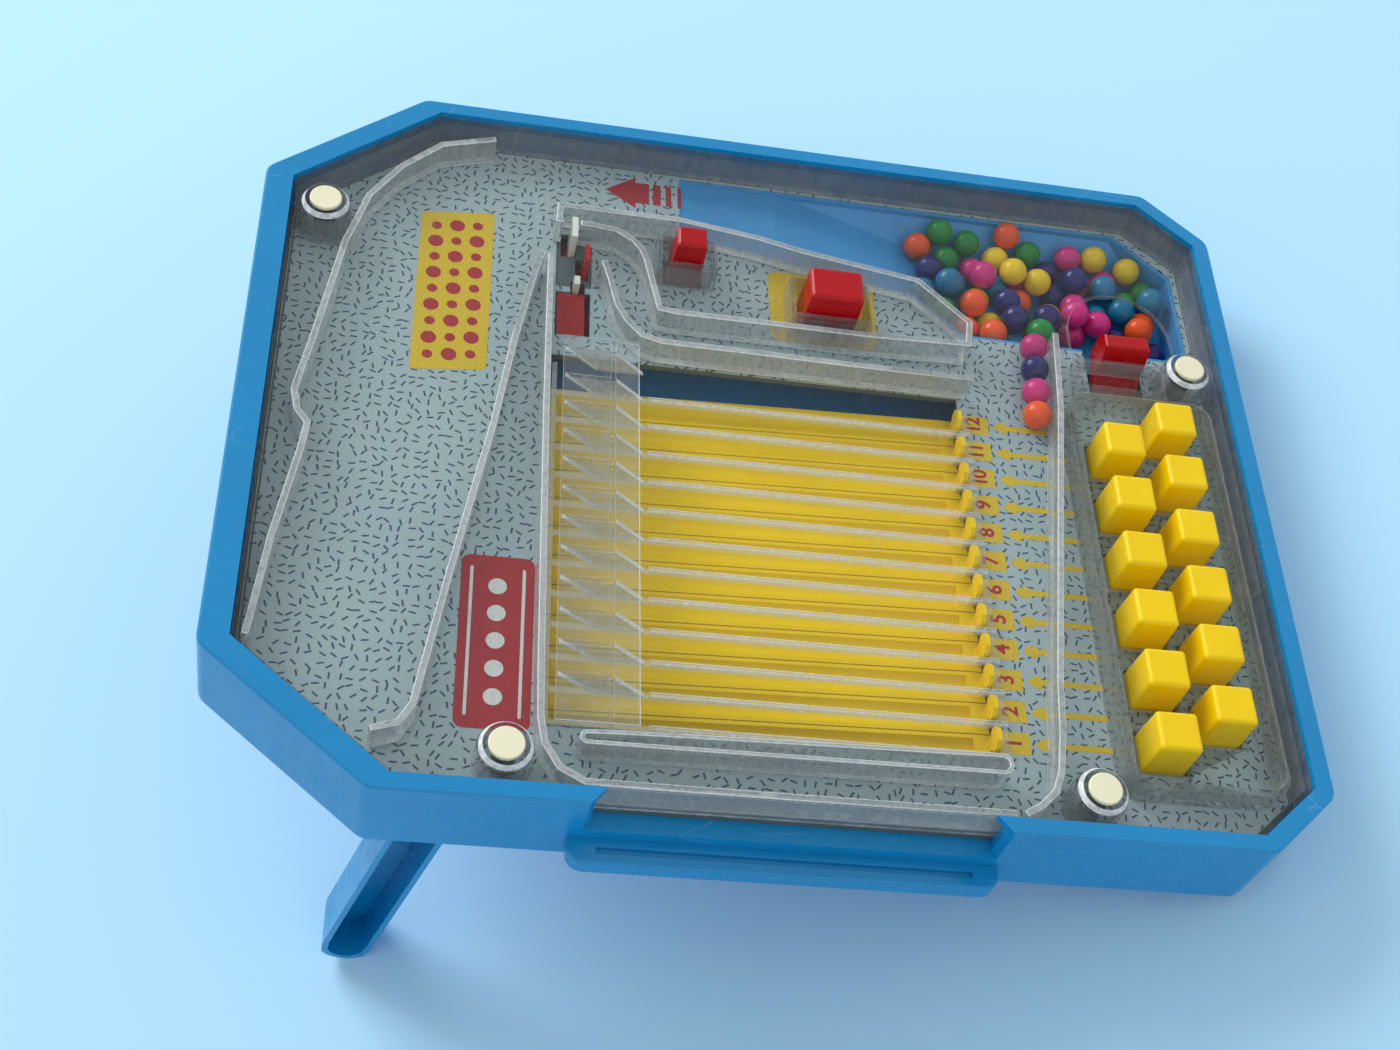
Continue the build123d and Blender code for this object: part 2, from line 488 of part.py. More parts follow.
# ---- folding legs -------------------------------------------------------------------------
def leg(side):
    """Channel leg, open on its outer side, with a rounded foot and tapering flanges."""
    half = LEG_W / 2
    r = half - 0.5
    out = [(half, 0), (half, -LEG_LEN + r + 3)]
    out += [(r * math.cos(math.radians(a)) * half / r, -LEG_LEN + r + r * math.sin(
        math.radians(a))) for a in (-30, -50, -70, -90, -110, -130, -150)]
    out += [(-half, -LEG_LEN + r + 3), (-half, 0)]
    out += arc_points(0, 0, half, 180, 0, 10)[1:-1]
    x_back, x_open = (-LEG_DEPTH, 0.0)
    shell = side_prism(out, x_back, x_open)
    core = [(y * (half - 2.2) / half, z if z > -LEG_LEN + r + 4 else z + 2.4) for y, z in out]
    core = [(y, z - 2.0) if z > 1 else (y, z) for y, z in core]
    shell -= side_prism(core, x_back + 2.2, x_open + 1)
    shell += rod_x(5.0, x_back, x_open, 0, 0)
    shell -= rod_x(LEG_PIN_D / 2 + 0.06, x_back - 1, x_open + 1, 0, 0)
    shell = Rot(LEG_LEAN, 0, 0) * shell
    if side < 0:
        return Pos(0, *LEG_PIVOT) * mirror(Pos(LEG_X1, 0, 0) * shell, Plane.YZ)
    return Pos(LEG_X1, *LEG_PIVOT) * shell


parts["leg_left"] = leg(-1)
parts["leg_right"] = leg(1)
parts["leg_pins"] = Compound(children=[
    rod_x(LEG_PIN_D / 2, *sorted((s * (LEG_X0 - 1.9), s * (LEG_X1 + 1.7))), *LEG_PIVOT)
    for s in (-1, 1)])

# ---- screws and caps ----------------------------------------------------------------------
screws, caps = [], []
for x, y in SCREWS:
    head = post(3.0, x, y, -2.6, -0.8) - block(x - 2.2, x + 2.2, y - 0.4, y + 0.4, -1.5, 0)
    screws.append(head + post(1.3, x, y, -18.5, -2.6))
    cap = post(CAP_D / 2, x, y, -0.6, 1.0)
    caps.append(fillet(cap.edges().group_by(Axis.Z)[-1], 0.5))
parts["cover_screws"] = Compound(children=screws)
parts["screw_caps"] = Compound(children=caps)

# ---- balls --------------------------------------------------------------------------------
def pond_height(y):
    for (y0, z0), (y1, z1) in zip(pond_floor, pond_floor[1:]):
        if y1 <= y <= y0:
            t = (y0 - y) / (y0 - y1)
            tilt = math.atan2(z0 - z1, y0 - y1)
            return z0 + (z1 - z0) * t, 1 / math.cos(tilt)
    return pond_floor[-1][1], 1.0


def edge_gap(x, y):
    """Distance from a point in plan to the reservoir's outline."""
    gaps = []
    for (ax, ay), (bx, by) in zip(POND, POND[1:] + POND[:1]):
        dx, dy = bx - ax, by - ay
        t = min(1.0, max(0.0, ((x - ax) * dx + (y - ay) * dy) / (dx * dx + dy * dy)))
        gaps.append(math.hypot(x - ax - t * dx, y - ay - t * dy))
    return min(gaps)


def heap(count, seed):
    """Drop balls one after another into the lowest free place of the reservoir."""
    r = BALL_D / 2
    beside = r + 1.75 + 0.3                     # clear of the pan's wall
    across = math.hypot(bank_rise, 1.0)
    rnd = random.Random(seed)
    placed = []
    while len(placed) < count:
        best = None
        for _ in range(700):
            x, y = rnd.uniform(86.6, 144.0), rnd.uniform(-182.0, -72.0)
            if edge_gap(x, y) < beside or (x < FEEDER_HOLE[1] + r + 0.3
                                           and abs(y - FEEDER[1]) < 24.0):
                continue
            base, lift = pond_height(y)
            bank_z = POND_DEEP + (x - BANK_FOOT) * bank_rise + r * across
            z = max(base + r * lift, POND_DEEP + r, bank_z) + 0.05
            for a, b, c in placed:
                d2 = (a - x) ** 2 + (b - y) ** 2
                if d2 < (BALL_D + 0.06) ** 2:
                    z = max(z, c + math.sqrt((BALL_D + 0.06) ** 2 - d2))
            if z < COVER_UNDER - r - 0.5 and (best is None or z < best[2]):
                best = (x, y, z)
        if best is None:
            break
        placed.append(best)
    return placed


COLOURS = ["orange", "yellow", "navy", "pink", "green", "teal"]
balls = {c: [] for c in COLOURS}
for i, p in enumerate(heap(54, 11)):
    balls[COLOURS[(i * 5 + i // 6) % 6]].append(p)
queue_z = CARD_TOP + BALL_D / 2 + 0.03
for i, c in enumerate(["pink", "navy", "pink", "orange"]):
    x = 72.4 - (BALL_D + 0.2) * i
    balls[c].append((x, -116.3 + (67.5 - x) * 0.085, queue_z))
for c in COLOURS:
    parts[f"balls_{c}"] = Compound(children=[Pos(*p) * Sphere(BALL_D / 2) for p in balls[c]])

# ---- tip the tray back onto its legs and write the pieces ---------------------------------
foot_y = LEG_PIVOT[0] + math.sin(math.radians(LEG_LEAN)) * LEG_LEN
foot_z = LEG_PIVOT[1] - math.cos(math.radians(LEG_LEAN)) * LEG_LEN
tilt = math.degrees(math.atan2(-CASE_H - foot_z, foot_y - FRONT))
stand = Rot(tilt, 0, 0)
placed = {name: stand * shape for name, shape in parts.items()}
boxes = [shape.bounding_box() for shape in placed.values()]
low = [min(b.min.X for b in boxes), min(b.min.Y for b in boxes), min(b.min.Z for b in boxes)]
high = [max(b.max.X for b in boxes), max(b.max.Y for b in boxes)]
shift = Pos(-(low[0] + high[0]) / 2, -(low[1] + high[1]) / 2, -low[2])
os.makedirs("parts", exist_ok=True)
for name, shape in placed.items():
    export_step(shift * shape, f"parts/{name}.step")
print("tilt", tilt, "shift", -(low[0] + high[0]) / 2, -(low[1] + high[1]) / 2, -low[2])
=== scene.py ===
"""Looks of the ball-mosaic game: materials, printed graphics, light and camera round the CAD model.

The tray has its own flat frame, called the case frame here: X to the player's right, Y away from
the player, Z out of the rim, in millimetres. CASE turns a point of it into the row frame.
"""

import json
import math

import bmesh
import bpy
from mathutils import Matrix, Quaternion, Vector


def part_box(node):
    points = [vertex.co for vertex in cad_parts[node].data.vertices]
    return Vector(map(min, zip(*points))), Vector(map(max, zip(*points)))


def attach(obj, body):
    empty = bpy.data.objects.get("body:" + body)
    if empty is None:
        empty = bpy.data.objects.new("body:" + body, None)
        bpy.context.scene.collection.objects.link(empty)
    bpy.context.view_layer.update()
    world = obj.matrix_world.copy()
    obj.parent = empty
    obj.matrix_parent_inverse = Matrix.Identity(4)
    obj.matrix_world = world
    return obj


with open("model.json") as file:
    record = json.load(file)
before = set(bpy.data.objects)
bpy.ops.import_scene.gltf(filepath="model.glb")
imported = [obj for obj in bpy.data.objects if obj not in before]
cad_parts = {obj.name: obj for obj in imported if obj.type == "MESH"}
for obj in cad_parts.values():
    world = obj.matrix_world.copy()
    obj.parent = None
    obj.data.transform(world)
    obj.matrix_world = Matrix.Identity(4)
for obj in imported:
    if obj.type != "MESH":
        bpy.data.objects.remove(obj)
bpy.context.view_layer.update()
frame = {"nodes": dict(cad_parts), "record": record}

# ---- the case frame, from the mount on the tray's underside -----------------------------------
MM = 0.001
UNDERSIDE = Vector((0.0, -60.0, -41.0))  # where that mount is in the case frame
mount = frame["record"]["mounts"][0]
TILT = math.atan2(mount["axis"][1], -mount["axis"][2])
TURN = Matrix.Rotation(TILT, 4, "X")
ORIGIN = Vector(mount["pos_m"]) - TURN @ (UNDERSIDE * MM)
CASE = Matrix.Translation(ORIGIN) @ TURN @ Matrix.Scale(MM, 4)
UP = TURN @ Vector((0.0, 0.0, 1.0))

CARD_TOP = -17.0  # height of the printed card's face
INK = (0.02, 0.07)  # bottom and top of a print above the card
SECOND_INK = (CARD_TOP + INK[1] + 0.01, CARD_TOP + INK[1] + 0.06)  # a print over a print
PLATE_Y = -87.6  # where the lanes' number plates are
LANES = 12
KEYS = [f"key_{n:02d}" for n in range(1, LANES + 1)]
BALLS = ("orange", "yellow", "navy", "pink", "green", "teal")
CLEAR_NODES = ("clear_cover", "guide_walls", "lane_comb", "lane_rails")


def in_case(point):
    """A row-frame point in case millimetres."""
    return CASE.inverted() @ Vector(point)


def lane_x(n):
    """Middle of lane n across the tray."""
    low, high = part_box(KEYS[n - 1])
    return in_case((low + high) / 2).x




# ---- node materials ---------------------------------------------------------------------------
def srgb(red, green, blue):
    """A colour given as 0 to 255, as the linear colour that shaders take."""
    linear = []
    for value in (red, green, blue):
        c = value / 255
        linear.append(c / 12.92 if c <= 0.04045 else ((c + 0.055) / 1.055) ** 2.4)
    return (*linear, 1.0)


def scaled(colour, share):
    return (*(c * share for c in colour[:3]), 1.0)


class Graph:
    """A node material being made."""

    def __init__(self, name):
        self.material = bpy.data.materials.new(name)
        self.material.use_nodes = True
        self.tree = self.material.node_tree
        self.tree.nodes.clear()
        self.place = None

    def put(self, socket, value):
        if isinstance(value, bpy.types.NodeSocket):
            self.tree.links.new(value, socket)
        else:
            socket.default_value = value

    def node(self, kind, inputs=(), **settings):
        made = self.tree.nodes.new("ShaderNode" + kind)
        for key, value in settings.items():
            setattr(made, key, value)
        for key, value in dict(inputs).items():
            self.put(made.inputs[key], value)
        return made

    def math(self, operation, a, b=0.0, c=0.0):
        made = self.node("Math", operation=operation)
        for socket, value in zip(made.inputs, (a, b, c)):
            self.put(socket, value)
        return made.outputs[0]

    def vector(self, operation, a, b=(0.0, 0.0, 0.0)):
        made = self.node("VectorMath", operation=operation)
        self.put(made.inputs[0], a)
        self.put(made.inputs[1], b)
        return made.outputs["Value" if operation == "DOT_PRODUCT" else "Vector"]

    def ramp(self, value, low, high, at_low=0.0, at_high=1.0):
        made = self.node("MapRange", interpolation_type="SMOOTHSTEP")
        for key, number in zip(range(5), (value, low, high, at_low, at_high)):
            self.put(made.inputs[key], number)
        return made.outputs[0]

    def blend(self, factor, a, b):
        made = self.node("Mix", data_type="RGBA")
        for key, value in ((0, factor), (6, a), (7, b)):
            self.put(made.inputs[key], value)
        return made.outputs[2]

    def case(self):
        """Coordinates in case millimetres."""
        if self.place is None:
            row = self.node("TexCoord").outputs["Object"]
            self.place = self.node(
                "Mapping",
                {"Vector": row, "Location": ORIGIN, "Rotation": (TILT, 0, 0), "Scale": (MM,) * 3},
                vector_type="TEXTURE",
            ).outputs[0]
        return self.place

    def noise(self, size, detail=2.0, stretch=(1.0, 1.0, 1.0), twist=0.0):
        """Noise with features of that size in millimetres, drawn out along an axis by stretch."""
        where = self.vector("DIVIDE", self.case(), tuple(size * s for s in stretch))
        inputs = {"Vector": where, "Scale": 1.0, "Detail": detail, "Distortion": twist}
        return self.node("TexNoise", inputs).outputs[0]

    def bump(self, height, depth):
        """A bump of that depth in millimetres."""
        inputs = {"Height": height, "Distance": depth * MM, "Strength": 1.0}
        return self.node("Bump", inputs).outputs[0]

    def scuffs(self, size, width):
        """Thin wandering scratches, only in some places."""
        where = self.vector("DIVIDE", self.case(), (size, size * 1.7, size))
        warped = self.node("TexNoise", {"Vector": where, "Scale": 2.3, "Detail": 3.0}).outputs["Color"]
        where = self.vector("ADD", where, self.vector("MULTIPLY", warped, (0.35, 0.35, 0.35)))
        cells = self.node("TexVoronoi", {"Vector": where, "Scale": 1.0}, feature="DISTANCE_TO_EDGE")
        line = self.ramp(cells.outputs["Distance"], 0.0, width, 1.0, 0.0)
        return self.math("MULTIPLY", line, self.ramp(self.noise(size * 0.8, 1.0), 0.56, 0.66))

    def upright(self):
        """How level a face lies in the case frame: 1 level, 0 upright."""
        normal = self.node("NewGeometry").outputs["True Normal"]
        return self.math("ABSOLUTE", self.vector("DOT_PRODUCT", normal, tuple(UP)))

    def finish(self, shader):
        output = self.tree.nodes.new("ShaderNodeOutputMaterial")
        self.tree.links.new(shader, output.inputs["Surface"])
        return self.material

    def principled(self, **inputs):
        named = {key.replace("_", " "): value for key, value in inputs.items()}
        return self.node("BsdfPrincipled", named).outputs[0]


def moulded(name, colour, roughness=0.28, dark=0.82, scuff=0.14, shine=0.5):
    """Glossy injection-moulded plastic: cloudy colour, handled patches, faint scratches.

    dark is how much of the colour is left in its darker clouds, and scuff how pale scratches are.
    """
    g = Graph(name)
    cloud = g.ramp(g.noise(55.0, 3.0), 0.32, 0.68)
    tone = g.blend(cloud, scaled(colour, dark), colour)
    marks = g.scuffs(26.0, 0.008)
    tone = g.blend(g.math("MULTIPLY", marks, scuff), tone, (0.75, 0.8, 0.85, 1.0))
    handled = g.noise(9.0, 4.0, twist=0.6)
    rough = g.ramp(handled, 0.35, 0.7, roughness - 0.04, roughness + 0.06)
    rough = g.math("ADD", rough, g.math("MULTIPLY", marks, 0.2))
    peel = g.math("ADD", g.noise(1.1, 3.0), g.math("MULTIPLY", marks, -1.5))
    inputs = {
        "Base Color": tone,
        "Roughness": rough,
        "Normal": g.bump(peel, ORANGE_PEEL),
        "Specular IOR Level": shine,
    }
    return g.finish(g.node("BsdfPrincipled", inputs).outputs[0])


def clear_plastic(name, side, level, edge, side_tone, foot=0.0):
    """Thin clear polystyrene. Edges, level ends and feet gather light; that light is painted in as a
    whiter milkiness there.

    side, level and edge say how milky the upright faces, the level faces and the slopes are, from
    0 clear to 1 milky; on the level faces and the slopes that milkiness is painted highlight. foot is
    painted highlight added to an upright face where it meets the card, and side_tone is how light the
    milkiness is away from edges.
    """
    g = Graph(name)
    lying = g.upright()
    streak = g.noise(3.0, 4.0, stretch=(1.0, 1.0, 3.5))
    cloud = g.noise(24.0, 3.0)
    flat = g.ramp(lying, 0.975, 0.995)
    slope = g.math("SUBTRACT", g.ramp(lying, 0.12, 0.3), flat)
    height = g.node("SeparateXYZ", {0: g.case()}).outputs[2]
    # painted highlight: an upright face gets milkier where it meets the card
    low = g.ramp(height, CARD_TOP + 0.4, CARD_TOP + 1.8, 1.0, 0.0)
    haze = g.ramp(g.math("MULTIPLY", streak, cloud), 0.12, 0.42, side * 0.6, side * 1.4)
    haze = g.math("MULTIPLY_ADD", low, foot, haze)
    # painted highlight: level faces and slopes get their own whiter haze
    top = g.ramp(streak, 0.3, 0.7, level * 0.75, level * 1.25)
    rim = g.ramp(g.noise(2.2, 3.0), 0.3, 0.7, edge * 0.75, edge * 1.2)
    haze = g.math("MULTIPLY_ADD", flat, g.math("SUBTRACT", top, haze), haze)
    haze = g.math("MULTIPLY_ADD", slope, g.math("SUBTRACT", rim, haze), haze)
    dust = g.math("MULTIPLY", g.ramp(g.noise(0.7, 2.0), 0.72, 0.8), 0.1)
    marks = g.math("MULTIPLY", g.scuffs(18.0, 0.01), 0.1)
    haze = g.math("MINIMUM", g.math("ADD", haze, g.math("ADD", dust, marks)), 0.96)
    # painted highlight: slopes and feet take a whiter milky tone
    painted_glow = g.math("MAXIMUM", slope, low)
    grey = (side_tone, side_tone * 1.02, side_tone * 1.03, 1.0)
    tone = g.blend(painted_glow, grey, (0.92, 0.94, 0.95, 1.0))
    dulled = g.ramp(cloud, 0.3, 0.7, 0.25, 0.4)
    milky = g.principled(Base_Color=tone, Roughness=dulled, Normal=g.bump(streak, 0.03))
    shine = g.node(
        "BsdfGlossy", {"Color": (1, 1, 1, 1), "Roughness": g.ramp(cloud, 0.3, 0.7, 0.03, 0.09)}
    ).outputs[0]
    through = g.node("BsdfTransparent", {"Color": CLEAR_TINT}).outputs[0]
    facing = g.node("LayerWeight", {"Blend": 0.5}).outputs["Facing"]
    fresnel = g.math("MULTIPLY_ADD", g.math("POWER", facing, 5.0), 0.8, 0.015)
    skin = g.node("MixShader", {0: fresnel, 1: through, 2: shine}).outputs[0]
    return g.finish(g.node("MixShader", {0: haze, 1: skin, 2: milky}).outputs[0])


def card_print():
    """Varnished card, pale grey-green with short dark dashes lying every way."""
    g = Graph("card_speckle")
    pitch, dash_length, dash_width = 4.0, 2.7, 0.76
    flat = g.vector("MULTIPLY", g.case(), (1.0, 1.0, 0.0))
    cells = g.node(
        "TexVoronoi", {"Vector": flat, "Scale": 1 / pitch, "Randomness": 0.6}, voronoi_dimensions="2D"
    )
    local = g.vector("SUBTRACT", flat, cells.outputs["Position"])
    x, y, _ = g.node("SeparateXYZ", {0: local}).outputs
    angle = g.math("MULTIPLY", g.node("SeparateColor", {0: cells.outputs["Color"]}).outputs[0], math.tau)
    cosine, sine = g.math("COSINE", angle), g.math("SINE", angle)
    along = g.math("ADD", g.math("MULTIPLY", x, cosine), g.math("MULTIPLY", y, sine))
    across = g.math("SUBTRACT", g.math("MULTIPLY", y, cosine), g.math("MULTIPLY", x, sine))
    within = []
    for value, size in ((along, dash_length), (across, dash_width)):
        within.append(g.ramp(g.math("ABSOLUTE", value), size / 2 - 0.07, size / 2 + 0.07, 1.0, 0.0))
    dash = g.math("MULTIPLY", *within)
    paper = g.blend(g.ramp(g.noise(70.0, 2.0), 0.3, 0.7), srgb(168, 186, 188), srgb(182, 198, 198))
    paper = g.blend(g.ramp(g.noise(0.5, 3.0), 0.3, 0.7), paper, srgb(160, 178, 182))
    ink = g.blend(g.noise(3.0), srgb(24, 42, 84), srgb(44, 66, 104))
    tone = g.blend(g.math("MULTIPLY", dash, 0.92), paper, ink)
    fibre = g.noise(0.6, 4.0)
    inputs = {
        "Base Color": tone,
        "Roughness": g.ramp(g.noise(14.0, 3.0), 0.3, 0.7, 0.34, 0.5),
        "Normal": g.bump(g.math("ADD", fibre, g.noise(16.0, 1.0)), 0.012),
        "Specular IOR Level": 0.4,
    }
    return g.finish(g.node("BsdfPrincipled", inputs).outputs[0])


def ink_print(name, colour):
    """Printing ink on the card, a little uneven."""
    g = Graph(name)
    uneven = g.ramp(g.noise(1.4, 4.0), 0.3, 0.7)
    tone = g.blend(uneven, scaled(colour, 0.86), colour)
    tone = g.blend(g.ramp(g.noise(0.35, 2.0), 0.66, 0.74, 0.0, 0.5), tone, srgb(176, 190, 188))
    inputs = {
        "Base Color": tone,
        "Roughness": g.ramp(g.noise(8.0, 3.0), 0.3, 0.7, 0.34, 0.48),
        "Normal": g.bump(g.noise(0.6, 3.0), 0.01),
    }
    return g.finish(g.node("BsdfPrincipled", inputs).outputs[0])


def ball_plastic(name, colour):
    """Glossy ball, each a little different, with fine handling marks."""
    g = Graph(name)
    island = g.node("NewGeometry").outputs["Random Per Island"]
    tone = g.blend(g.ramp(island, 0.0, 1.0), scaled(colour, 0.8), colour)
    tone = g.blend(g.ramp(g.noise(5.0, 3.0), 0.35, 0.65, 0.0, 0.35), tone, scaled(colour, 0.7))
    inputs = {
        "Base Color": tone,
        "Roughness": g.ramp(g.noise(3.0, 4.0), 0.35, 0.7, 0.18, 0.34),
        "Normal": g.bump(g.noise(0.9, 3.0), 0.02),
        "Specular IOR Level": 0.4,
    }
    return g.finish(g.node("BsdfPrincipled", inputs).outputs[0])


def drawn_steel():
    """Bright drawn rod with fine lines round it and a few dull patches."""
    g = Graph("drawn_steel")
    lines = g.noise(0.25, 3.0, stretch=(1.0, 12.0, 12.0))
    inputs = {
        "Base Color": g.blend(g.noise(7.0, 3.0), srgb(150, 150, 152), srgb(196, 196, 198)),
        "Metallic": 1.0,
        "Roughness": g.ramp(lines, 0.3, 0.7, 0.2, 0.42),
        "Normal": g.bump(lines, 0.01),
    }
    return g.finish(g.node("BsdfPrincipled", inputs).outputs[0])


ORANGE_PEEL = 0.008  # depth of the moulded skin's waviness, in millimetres
CLEAR_TINT = (0.965, 0.98, 0.98, 1.0)
BLUE = srgb(0, 136, 196)
YELLOW = srgb(255, 214, 0)
RED = srgb(180, 0, 12)


def dress(node, material):
    """Gives a CAD node its material."""
    slots = frame["nodes"][node].data.materials
    slots.clear()
    slots.append(material)


def round_edges(node, width):
    """Rounds a CAD node's sharp edges as a mould leaves them."""
    piece = frame["nodes"][node]
    weld = piece.modifiers.new("weld", "WELD")
    weld.merge_threshold = 1e-6
    bevel = piece.modifiers.new("edges", "BEVEL")
    bevel.width = width * MM
    bevel.segments = 2
    bevel.limit_method = "ANGLE"
    bevel.angle_limit = math.radians(32)
    bevel.use_clamp_overlap = True
    bevel.harden_normals = True


def dress_all():
    blue = moulded("blue_plastic", BLUE, roughness=0.26, dark=0.93)
    dress("case_tray", blue)
    for leg in ("leg_left", "leg_right"):
        dress(leg, blue)
    dress("reservoir_pan", moulded("pan_plastic", srgb(60, 158, 222), roughness=0.3))
    dress("deck_panel", moulded("deck_plastic", srgb(84, 100, 102), roughness=0.45, scuff=0.1))
    dress("printed_card", card_print())
    yellow = moulded("yellow_plastic", YELLOW, roughness=0.28, dark=0.92, scuff=0.1, shine=0.3)
    for node in KEYS:
        dress(node, yellow)
    red = moulded("red_plastic", RED, roughness=0.26, dark=0.86, scuff=0.1, shine=0.32)
    for node in ("feed_rocker", "release_rocker", "feeder_lever"):
        dress(node, red)
    white = moulded("white_plastic", srgb(236, 234, 224), roughness=0.3, dark=0.92)
    for node in ("feed_blade", "release_blade"):
        dress(node, white)
    dress("screw_caps", moulded("cream_plastic", srgb(244, 238, 205), roughness=0.34, dark=0.94))
    steel = drawn_steel()
    for node in ("key_rod", "rocker_rod", "feeder_pin", "leg_pins", "cover_screws"):
        dress(node, steel)
    balls = {
        "orange": srgb(255, 92, 28),
        "yellow": srgb(246, 206, 20),
        "navy": srgb(30, 34, 110),
        "pink": srgb(220, 48, 134),
        "green": srgb(10, 140, 54),
        "teal": srgb(16, 122, 164),
    }
    for colour in BALLS:
        dress(f"balls_{colour}", ball_plastic(f"ball_{colour}", balls[colour]))
    dress("clear_cover", clear_plastic("clear_cover_plastic", 0.32, 0.006, 0.75, 0.34))
    dress("guide_walls", clear_plastic("clear_wall_plastic", 0.4, 0.8, 0.92, 0.5, foot=0.6))
    dress("lane_comb", clear_plastic("clear_comb_plastic", 0.4, 0.08, 0.95, 0.66, foot=0.3))
    dress("lane_rails", clear_plastic("clear_rail_plastic", 0.16, 0.2, 0.55, 0.8))


# ---- prints on the card -----------------------------------------------------------------------
def add_prism(bm, outline, low=CARD_TOP + INK[0], high=CARD_TOP + INK[1]):
    """A closed prism over an outline in case millimetres."""
    rings = [[bm.verts.new(CASE @ Vector((x, y, z))) for x, y in outline] for z in (low, high)]
    bm.faces.new(rings[0][::-1])
    bm.faces.new(rings[1])
    count = len(outline)
    for i in range(count):
        j = (i + 1) % count
        bm.faces.new((rings[0][i], rings[0][j], rings[1][j], rings[1][i]))


def piece(name, bm, material, slot, body="case"):
    """Makes the finished mesh a piece that rides on a body."""
    bmesh.ops.recalc_face_normals(bm, faces=bm.faces)
    mesh = bpy.data.meshes.new(name)
    bm.to_mesh(mesh)
    bm.free()
    made = bpy.data.objects.new(name, mesh)
    bpy.context.scene.collection.objects.link(made)
    mesh.materials.append(material)
    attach(made, body)
    return made


def rounded(cx, cy, width, height, radius, lean=0.0, steps=6):
    """Outline of a rounded rectangle, leaning along X by lean for each millimetre of Y."""
    outline = []
    for quarter, (sx, sy) in enumerate(((1, 1), (-1, 1), (-1, -1), (1, -1))):
        for i in range(steps + 1):
            a = math.radians(90 * (quarter + i / steps))
            x = sx * (width / 2 - radius) + radius * math.cos(a)
            y = sy * (height / 2 - radius) + radius * math.sin(a)
            outline.append((cx + x + lean * y, cy + y))
    return outline


def disc(cx, cy, radius, steps=24):
    return [
        (cx + radius * math.cos(math.tau * i / steps), cy + radius * math.sin(math.tau * i / steps))
        for i in range(steps)
    ]


def lane_labels(yellow_ink):
    """Yellow number plates and arrows, one for each lane."""
    plates, arrows = bmesh.new(), bmesh.new()
    plate_size, corner = (9.2, 12.4), 0.5
    head_y, head, shaft, shaft_end = -98.6, 3.0, 1.25, -126.0
    for n in range(1, LANES + 1):
        x = lane_x(n)
        add_prism(plates, rounded(x, PLATE_Y, *plate_size, corner))
        add_prism(arrows, [
            (x - shaft, shaft_end), (x + shaft, shaft_end), (x + shaft, head_y - head),
            (x + head, head_y - head * 0.9), (x + head * 0.7, head_y + head * 0.2),
            (x, head_y + head), (x - head * 0.7, head_y + head * 0.2),
            (x - head, head_y - head * 0.9), (x - shaft, head_y - head),
        ])
    piece("number_plates", plates, yellow_ink, "yellow")
    piece("lane_arrows", arrows, yellow_ink, "yellow")


def lane_numbers(red_ink):
    """The numbers 1 to 12, read with the far end of the tray up."""
    bm = bmesh.new()
    height, weight = 8.6, 0.44
    for n in range(1, LANES + 1):
        text = bpy.data.curves.new(f"digits_{n}", "FONT")
        text.body = str(n)
        text.size = height
        text.align_x, text.align_y = "CENTER", "CENTER"
        text.offset = weight / 2
        text.extrude = (INK[1] - INK[0]) / 2
        text.space_character = 0.86
        holder = bpy.data.objects.new(f"digits_{n}", text)
        mesh = bpy.data.meshes.new_from_object(holder)
        lift = CARD_TOP + INK[1] + (INK[1] - INK[0]) / 2 + 0.01
        mesh.transform(CASE @ Matrix.Translation((lane_x(n), PLATE_Y, lift)))
        bm.from_mesh(mesh)
        bpy.data.objects.remove(holder)
        bpy.data.meshes.remove(mesh)
    bmesh.ops.remove_doubles(bm, verts=bm.verts, dist=1e-7)
    piece("lane_numbers", bm, red_ink, "red")


def release_patch(ink):
    """The patch round the large red button."""
    bm = bmesh.new()
    add_prism(bm, rounded(84.0, -26.5, 38.0, 46.0, 4.0))
    piece("release_patch", bm, ink, "yellow")


def load_arrow(ink):
    """The arrow from the reservoir to the funnel, with three bars behind it."""
    arrow_x, tip_y, head_len, half_head, half_bar, shaft = 139.0, 66.2, 13.0, 9.0, 6.0, 6.0
    neck = tip_y - head_len
    back = neck - shaft
    bm = bmesh.new()
    add_prism(bm, [
        (arrow_x, tip_y), (arrow_x - half_head, neck), (arrow_x - half_bar, neck),
        (arrow_x - half_bar, back), (arrow_x + half_bar, back), (arrow_x + half_bar, neck),
        (arrow_x + half_head, neck),
    ])
    for gap, bar in ((1.6, 3.4), (2.2, 2.4), (2.8, 1.6)):
        back -= gap
        add_prism(bm, rounded(arrow_x, back - bar / 2, 2 * half_bar, bar, 0.2))
        back -= bar
    piece("load_arrow", bm, ink, "red")


def title_label(ground, ink):
    """The long label, with rows of discs on it and no words."""
    x, y, width, height, lean = 72.5, 128.0, 84.0, 30.0, -0.12
    column, line, large, small = 8.6, 8.4, 3.1, 2.1
    bm = bmesh.new()
    add_prism(bm, rounded(x, y, width, height, 1.5, lean=lean))
    piece("title_label", bm, ground, "yellow")
    bm = bmesh.new()
    for row in range(3):
        for i in range(9):
            up = (row - 1) * line
            radius = large if (i + row) % 2 else small
            add_prism(bm, disc(x + (i - 4) * column + lean * up, y + up, radius), *SECOND_INK)
    piece("title_pattern", bm, ink, "red")


def badge_label(ground, ink):
    """The small label, with discs between two lines and no words."""
    x, y, width, height = -91.0, 104.5, 72.0, 27.0
    line_y, line_size, pitch, radius = 9.6, (62.0, 1.2), 11.5, 3.4
    bm = bmesh.new()
    add_prism(bm, rounded(x, y, width, height, 3.5))
    piece("badge_label", bm, ground, "red")
    bm = bmesh.new()
    for side in (1, -1):
        add_prism(bm, rounded(x, y + side * line_y, *line_size, 0.5), *SECOND_INK)
    for i in range(5):
        add_prism(bm, disc(x + (i - 2) * pitch, y, radius), *SECOND_INK)
    piece("badge_pattern", bm, ink, "white")


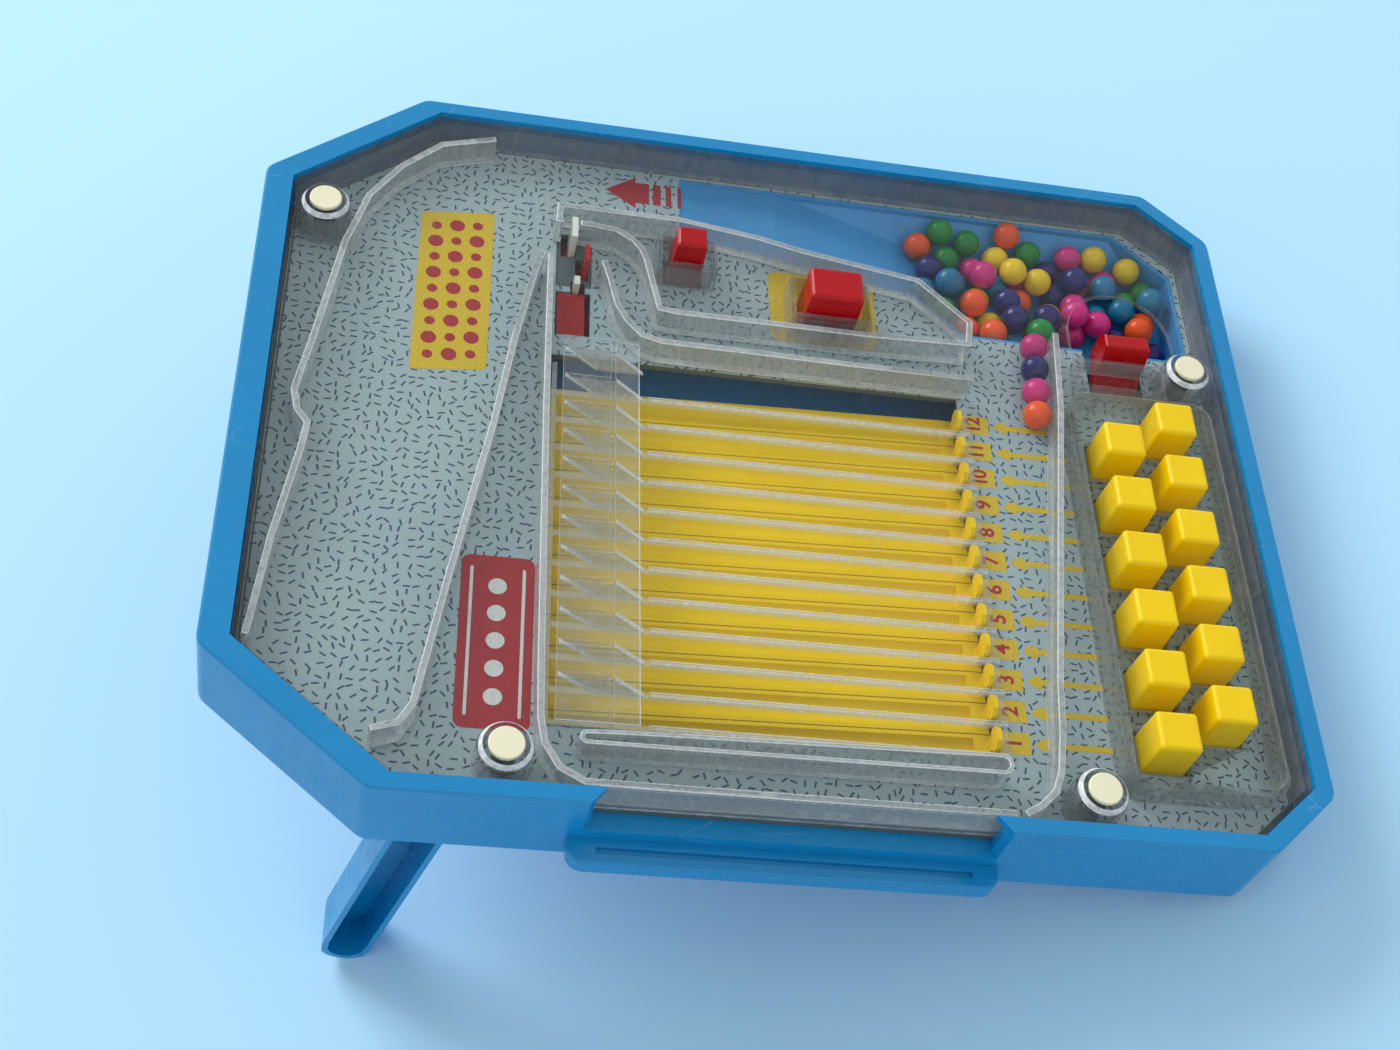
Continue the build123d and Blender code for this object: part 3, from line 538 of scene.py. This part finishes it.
def prints():
    yellow_ink = ink_print("yellow_ink", srgb(226, 190, 20))
    red_ink = ink_print("red_ink", srgb(176, 22, 36))
    white_ink = ink_print("white_ink", srgb(226, 226, 220))
    lane_labels(yellow_ink)
    lane_numbers(red_ink)
    release_patch(yellow_ink)
    load_arrow(red_ink)
    title_label(yellow_ink, red_ink)
    badge_label(red_ink, white_ink)


# ---- studio -----------------------------------------------------------------------------------
CAMERA_AT = Vector((-0.44010, -0.03354, 0.68942))
CAMERA_TO = Vector((-0.03923, 0.02299, 0.11246))
CAMERA_ROLL = math.radians(-11.25)
CAMERA_LENS = 48.93


def camera():
    data = bpy.data.cameras.new("camera")
    data.lens = CAMERA_LENS
    data.sensor_width = 36.0
    made = bpy.data.objects.new("camera", data)
    bpy.context.scene.collection.objects.link(made)
    made.location = CAMERA_AT
    made.rotation_mode = "QUATERNION"
    aim = (CAMERA_TO - CAMERA_AT).to_track_quat("-Z", "Y")
    made.rotation_quaternion = aim @ Quaternion((0, 0, 1), CAMERA_ROLL)
    bpy.context.scene.camera = made


def soft_light(name, at, to, size, power):
    data = bpy.data.lights.new(name, "AREA")
    data.shape = "RECTANGLE"
    data.size, data.size_y = size
    data.energy = power
    made = bpy.data.objects.new(name, data)
    bpy.context.scene.collection.objects.link(made)
    made.location = at
    made.rotation_mode = "QUATERNION"
    made.rotation_quaternion = (Vector(to) - Vector(at)).to_track_quat("-Z", "Y")


def studio():
    bm = bmesh.new()
    bmesh.ops.create_grid(bm, x_segments=1, y_segments=1, size=6.0)
    mesh = bpy.data.meshes.new("floor")
    bm.to_mesh(mesh)
    bm.free()
    floor = bpy.data.objects.new("floor", mesh)
    bpy.context.scene.collection.objects.link(floor)
    g = Graph("pale_floor")
    mesh.materials.append(g.finish(g.principled(Base_Color=srgb(180, 226, 252), Roughness=0.9)))

    world = bpy.data.worlds.new("studio")
    world.use_nodes = True
    background = world.node_tree.nodes["Background"]
    background.inputs["Color"].default_value = (0.93, 0.97, 1.0, 1.0)
    background.inputs["Strength"].default_value = 0.7
    bpy.context.scene.world = world
    soft_light("key", (2.6, 2.0, 2.6), (0, 0, 0.1), (2.1, 2.1), 112.0)
    soft_light("fill", (-1.6, -0.6, 1.2), (0, 0, 0.1), (1.8, 1.8), 2.0)
    bpy.context.scene.view_settings.view_transform = "Standard"
    bpy.context.scene.cycles.transparent_max_bounces = 40


camera()
studio()
dress_all()
prints()
for node in CLEAR_NODES:
    round_edges(node, 0.35)
